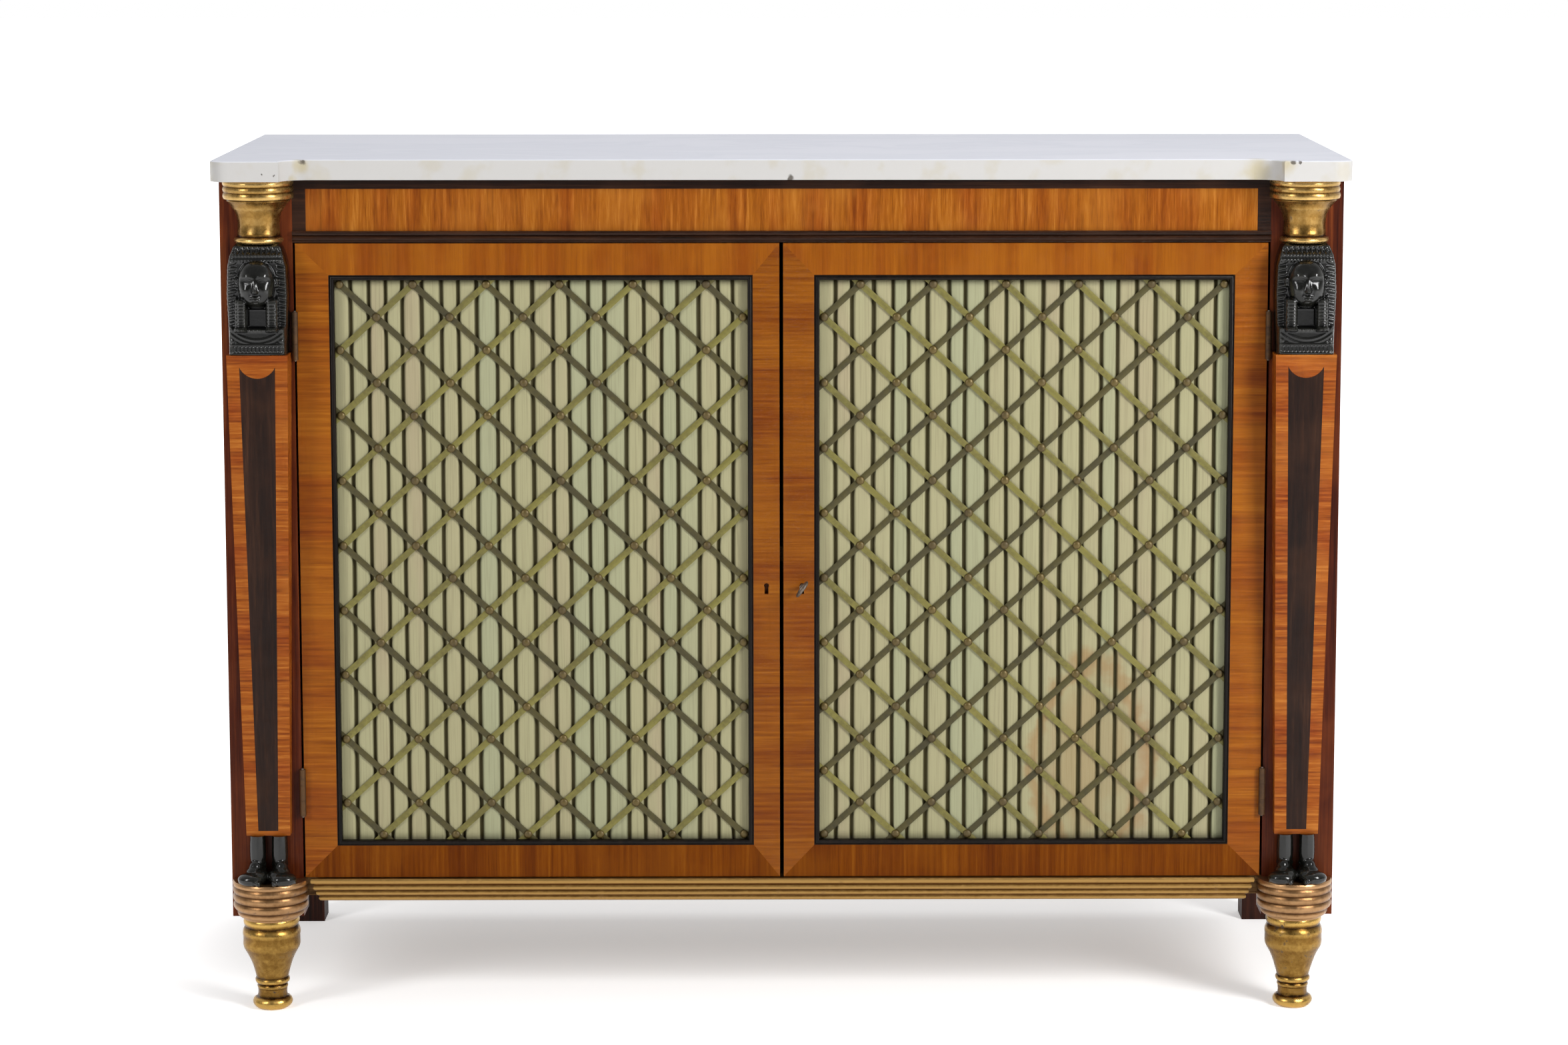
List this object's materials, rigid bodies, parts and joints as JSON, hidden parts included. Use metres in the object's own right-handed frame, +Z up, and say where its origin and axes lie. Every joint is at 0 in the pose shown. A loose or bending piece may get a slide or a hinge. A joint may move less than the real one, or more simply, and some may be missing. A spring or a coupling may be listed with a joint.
{
  "type": "side cabinet",
  "caption": "Breakfront side cabinet: marble slab, satinwood case, hinged doors with brass trellis over pleated silk, Egyptian head pilasters on turned gilt legs.",
  "frame": {"origin": "on the floor, under the middle of the marble slab's outline", "axes": "+X to the cabinet's right seen from the front, +Y to its back, +Z up"},
  "size_m": [1.175, 0.44, 0.9],
  "materials": {
    "marble": "honed white marble with faint grey clouds",
    "satinwood": "french-polished satinwood, crossbanded",
    "rosewood": "french-polished rosewood",
    "mahogany": "polished red-brown mahogany",
    "ebonised_wood": "ebonised, with a bronze-black sheen",
    "gilt_wood": "carved or turned wood with worn gold leaf",
    "oak": "plain waxed oak",
    "brass": "dull olive brass",
    "steel": "worn steel",
    "silk": "pleated sage-cream silk"
  },
  "bodies": {
    "case": {"marble_top": "marble", "top_board": "oak", "bottom_board": "oak", "left_side_panel": "satinwood", "right_side_panel": "satinwood", "left_corner_post": "mahogany", "right_corner_post": "mahogany", "back_panel": "oak", "shelf": "oak", "shelf_pegs": "brass", "frieze_rail": "oak", "frieze_panel": "satinwood", "frieze_border": "rosewood", "frieze_moulding": "rosewood", "base_mouldings": "gilt_wood", "back_feet": "rosewood", "left_capital": "gilt_wood", "right_capital": "gilt_wood", "left_mask": "ebonised_wood", "right_mask": "ebonised_wood", "left_term_shaft": "satinwood", "right_term_shaft": "satinwood", "term_panels": "rosewood", "left_term_feet": "ebonised_wood", "right_term_feet": "ebonised_wood", "leg_plinths": "gilt_wood", "left_front_leg": "gilt_wood", "right_front_leg": "gilt_wood", "post_hinges": "brass", "hinge_pins": "brass", "post_screws": "brass"},
    "left_door": {"left_hinge_stile": "satinwood", "left_meeting_stile": "satinwood", "left_top_rail": "satinwood", "left_bottom_rail": "satinwood", "left_bead": "ebonised_wood", "left_trellis": "brass", "left_rosettes": "brass", "left_silk": "silk", "left_silk_battens": "oak", "left_door_hinges": "brass", "left_door_screws": "brass", "strike_plate": "brass", "flush_bolt_plates": "brass"},
    "right_door": {"right_hinge_stile": "satinwood", "right_meeting_stile": "satinwood", "right_top_rail": "satinwood", "right_bottom_rail": "satinwood", "right_bead": "ebonised_wood", "right_trellis": "brass", "right_rosettes": "brass", "right_silk": "silk", "right_silk_battens": "oak", "right_door_hinges": "brass", "right_door_screws": "brass", "lock_case": "steel"},
    "key": {"key": "steel"},
    "lock_bolt": {"lock_bolt": "steel"},
    "upper_bolt": {"upper_flush_bolt": "brass"},
    "lower_bolt": {"lower_flush_bolt": "brass"}
  },
  "joints": [
    {"name": "left_door_swing", "type": "hinge", "parent": "case", "child": "left_door", "pos_m": [-0.5052, -0.1776, 0.474], "axis": [0, 0, -1], "range_deg": [0, 95]},
    {"name": "right_door_swing", "type": "hinge", "parent": "case", "child": "right_door", "pos_m": [0.5052, -0.1776, 0.474], "axis": [0, 0, 1], "range_deg": [0, 95]},
    {"name": "key_turn", "type": "hinge", "parent": "right_door", "child": "key", "pos_m": [0.0205, -0.17, 0.452], "axis": [0, 1, 0], "range_deg": [-36, 144]},
    {"name": "lock_bolt_slide", "type": "slide", "parent": "right_door", "child": "lock_bolt", "axis": [-1, 0, 0], "range_m": [-0.0025, 0.0097]},
    {"name": "upper_bolt_slide", "type": "slide", "parent": "left_door", "child": "upper_bolt", "axis": [0, 0, 1], "range_m": [0, 0.01]},
    {"name": "lower_bolt_slide", "type": "slide", "parent": "left_door", "child": "lower_bolt", "axis": [0, 0, -1], "range_m": [0, 0.01]}
  ],
  "couplings": [
    {"joint": "lock_bolt_slide", "follows": "key_turn", "m_per_rad": 0.0038197}
  ]
}
